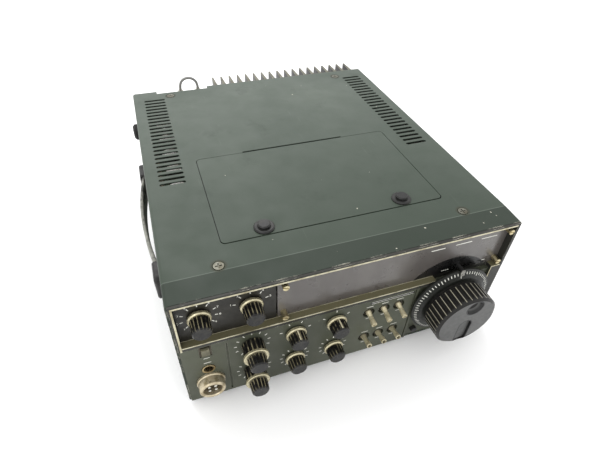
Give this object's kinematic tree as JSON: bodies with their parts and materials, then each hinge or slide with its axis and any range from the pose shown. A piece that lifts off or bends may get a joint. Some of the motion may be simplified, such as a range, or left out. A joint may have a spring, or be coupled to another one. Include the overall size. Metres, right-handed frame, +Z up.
{
  "type": "short-wave transceiver",
  "caption": "Compact short-wave radio transceiver: flat metal case, tuning dial with scale, smoked window, ribbed knobs, bat toggles, hatch on top, strap handle and finned heatsink.",
  "frame": {"origin": "bottom centre of the set's bounding box, on the surface that it stands on", "axes": "+X to the right as seen from the front, +Y to the back, +Z up; the front faces -Y"},
  "size_m": [0.253, 0.3134, 0.1197],
  "materials": {
    "covers": "grey-green hammertone-free stoved enamel, satin",
    "dark_panel": "satin",
    "black_panel": "satin",
    "bezel": "satin with plated front edge",
    "smoked_window": "smoked, polished",
    "brass": "worn",
    "knob_black": "satin, worn",
    "knob_grey": "satin",
    "dial_black": "satin",
    "bright_metal": "worn plating",
    "bare_steel": "plated sheet",
    "bare_aluminium": "passivated",
    "black_aluminium": "black anodised",
    "rubber": "matt",
    "strap_vinyl": "worn vinyl",
    "black_nylon": "satin",
    "circuit_board": "laminate",
    "cans": "satin",
    "cable_grey": "vinyl",
    "silver_trim": "plated",
    "paper_cone": "paper"
  },
  "bodies": {
    "radio": {"top_cover": "covers", "bottom_cover": "covers", "cover_screws": "bare_steel", "chassis_frames": "bare_steel", "chassis_plate": "bare_aluminium", "front_subpanel": "bare_steel", "rear_panel": "bare_aluminium", "front_panel": "dark_panel", "bezel_frame": "bezel", "knob_panel": "black_panel", "display_window": "smoked_window", "window_posts": "brass", "dial_index": "silver_trim", "rotary_controls": "bare_steel", "toggle_bodies": "bare_steel", "phones_jack": "bright_metal", "mic_connector": "bright_metal", "meter_case": "black_nylon", "digital_display": "black_nylon", "main_board": "circuit_board", "board_components": "cans", "oscillator_box": "bare_steel", "speaker": "paper_cone", "heatsink": "black_aluminium", "antenna_socket": "bright_metal", "power_inlet": "black_nylon", "jack_block": "bright_metal", "ground_terminal": "bright_metal", "jumper_plugs": "brass", "jumper_cable": "cable_grey", "handle_strap": "strap_vinyl", "handle_ends": "black_nylon", "rubber_feet": "rubber"},
    "main_dial": {"main_knob": "knob_grey", "dial_skirt": "dial_black", "dial_shaft": "bare_steel"},
    "hatch": {"access_hatch": "covers", "latch_grommets": "black_nylon"},
    "latch_left": {"latch_plunger_left": "black_nylon"},
    "latch_right": {"latch_plunger_right": "black_nylon"},
    "band_knob": {"band_knob": "knob_black"},
    "meter_switch_knob": {"meter_switch_knob": "knob_black"},
    "mode_knob": {"mode_knob": "knob_black"},
    "vfo_switch_knob": {"vfo_switch_knob": "knob_black"},
    "rit_knob": {"rit_knob": "knob_black"},
    "shift_knob": {"shift_knob": "knob_black"},
    "upper_outer_knob": {"upper_outer_knob": "knob_black"},
    "upper_inner_knob": {"upper_inner_knob": "knob_black"},
    "lower_outer_knob": {"lower_outer_knob": "knob_black"},
    "lower_inner_knob": {"lower_inner_knob": "knob_black"},
    "toggle_1": {"toggle_lever_1": "bright_metal"},
    "toggle_2": {"toggle_lever_2": "bright_metal"},
    "toggle_3": {"toggle_lever_3": "bright_metal"},
    "toggle_4": {"toggle_lever_4": "bright_metal"},
    "toggle_5": {"toggle_lever_5": "bright_metal"},
    "toggle_6": {"toggle_lever_6": "bright_metal"},
    "power_rocker": {"power_rocker": "black_nylon"},
    "lock_button": {"lock_button": "black_nylon"},
    "meter_needle": {"meter_needle": "black_nylon"}
  },
  "joints": [
    {"name": "main_dial_turn", "type": "hinge", "parent": "radio", "child": "main_dial", "pos_m": [0.0834, -0.13225, 0.0456], "axis": [0, 1, 0], "continuous": true},
    {"name": "band_knob_turn", "type": "hinge", "parent": "radio", "child": "band_knob", "pos_m": [-0.0988, -0.13225, 0.0904], "axis": [0, 1, 0], "range_deg": [-150, 150]},
    {"name": "meter_switch_knob_turn", "type": "hinge", "parent": "radio", "child": "meter_switch_knob", "pos_m": [-0.0671, -0.13225, 0.0904], "axis": [0, 1, 0], "range_deg": [-75, 75]},
    {"name": "mode_knob_turn", "type": "hinge", "parent": "radio", "child": "mode_knob", "pos_m": [-0.0391, -0.13225, 0.0546], "axis": [0, 1, 0], "range_deg": [-75, 75]},
    {"name": "vfo_switch_knob_turn", "type": "hinge", "parent": "radio", "child": "vfo_switch_knob", "pos_m": [-0.0096, -0.13225, 0.0546], "axis": [0, 1, 0], "range_deg": [-60, 60]},
    {"name": "rit_knob_turn", "type": "hinge", "parent": "radio", "child": "rit_knob", "pos_m": [-0.0391, -0.13225, 0.0246], "axis": [0, 1, 0], "range_deg": [-140, 140]},
    {"name": "shift_knob_turn", "type": "hinge", "parent": "radio", "child": "shift_knob", "pos_m": [-0.0096, -0.13225, 0.0246], "axis": [0, 1, 0], "range_deg": [-140, 140]},
    {"name": "upper_outer_knob_turn", "type": "hinge", "parent": "radio", "child": "upper_outer_knob", "pos_m": [-0.0689, -0.13225, 0.0546], "axis": [0, 1, 0], "range_deg": [-140, 140]},
    {"name": "upper_inner_knob_turn", "type": "hinge", "parent": "radio", "child": "upper_inner_knob", "pos_m": [-0.0689, -0.13225, 0.0546], "axis": [0, 1, 0], "range_deg": [-140, 140]},
    {"name": "lower_outer_knob_turn", "type": "hinge", "parent": "radio", "child": "lower_outer_knob", "pos_m": [-0.0689, -0.13225, 0.0246], "axis": [0, 1, 0], "range_deg": [-140, 140]},
    {"name": "lower_inner_knob_turn", "type": "hinge", "parent": "radio", "child": "lower_inner_knob", "pos_m": [-0.0689, -0.13225, 0.0246], "axis": [0, 1, 0], "range_deg": [-140, 140]},
    {"name": "toggle_1_flip", "type": "hinge", "parent": "radio", "child": "toggle_1", "pos_m": [0.016, -0.13075, 0.053], "axis": [1, 0, 0], "range_deg": [-20, 0]},
    {"name": "toggle_2_flip", "type": "hinge", "parent": "radio", "child": "toggle_2", "pos_m": [0.028, -0.13075, 0.053], "axis": [1, 0, 0], "range_deg": [-20, 0]},
    {"name": "toggle_3_flip", "type": "hinge", "parent": "radio", "child": "toggle_3", "pos_m": [0.04, -0.13075, 0.053], "axis": [1, 0, 0], "range_deg": [-20, 0]},
    {"name": "toggle_4_flip", "type": "hinge", "parent": "radio", "child": "toggle_4", "pos_m": [0.016, -0.13075, 0.0233], "axis": [1, 0, 0], "range_deg": [0, 20]},
    {"name": "toggle_5_flip", "type": "hinge", "parent": "radio", "child": "toggle_5", "pos_m": [0.028, -0.13075, 0.0233], "axis": [1, 0, 0], "range_deg": [0, 20]},
    {"name": "toggle_6_flip", "type": "hinge", "parent": "radio", "child": "toggle_6", "pos_m": [0.04, -0.13075, 0.0233], "axis": [1, 0, 0], "range_deg": [0, 20]},
    {"name": "power_rocker_tip", "type": "hinge", "parent": "radio", "child": "power_rocker", "pos_m": [-0.0992, -0.12925, 0.0601], "axis": [-1, 0, 0], "range_deg": [0, 14]},
    {"name": "lock_button_press", "type": "slide", "parent": "radio", "child": "lock_button", "axis": [0, 1, 0], "range_m": [0, 0.0015], "stiffness_N_per_m": 200},
    {"name": "hatch_hinge", "type": "hinge", "parent": "radio", "child": "hatch", "pos_m": [0.0044, 0.00535, 0.1116], "axis": [-1, 0, 0], "range_deg": [0, 75]},
    {"name": "latch_left_pull", "type": "slide", "parent": "hatch", "child": "latch_left", "axis": [0, 0, 1], "range_m": [0, 0.003]},
    {"name": "latch_right_pull", "type": "slide", "parent": "hatch", "child": "latch_right", "axis": [0, 0, 1], "range_m": [0, 0.003]},
    {"name": "meter_needle_swing", "type": "hinge", "parent": "radio", "child": "meter_needle", "pos_m": [-0.0226, -0.11785, 0.0766], "axis": [0, 1, 0], "range_deg": [0, 76], "stiffness_Nm_per_rad": 0.0001}
  ]
}
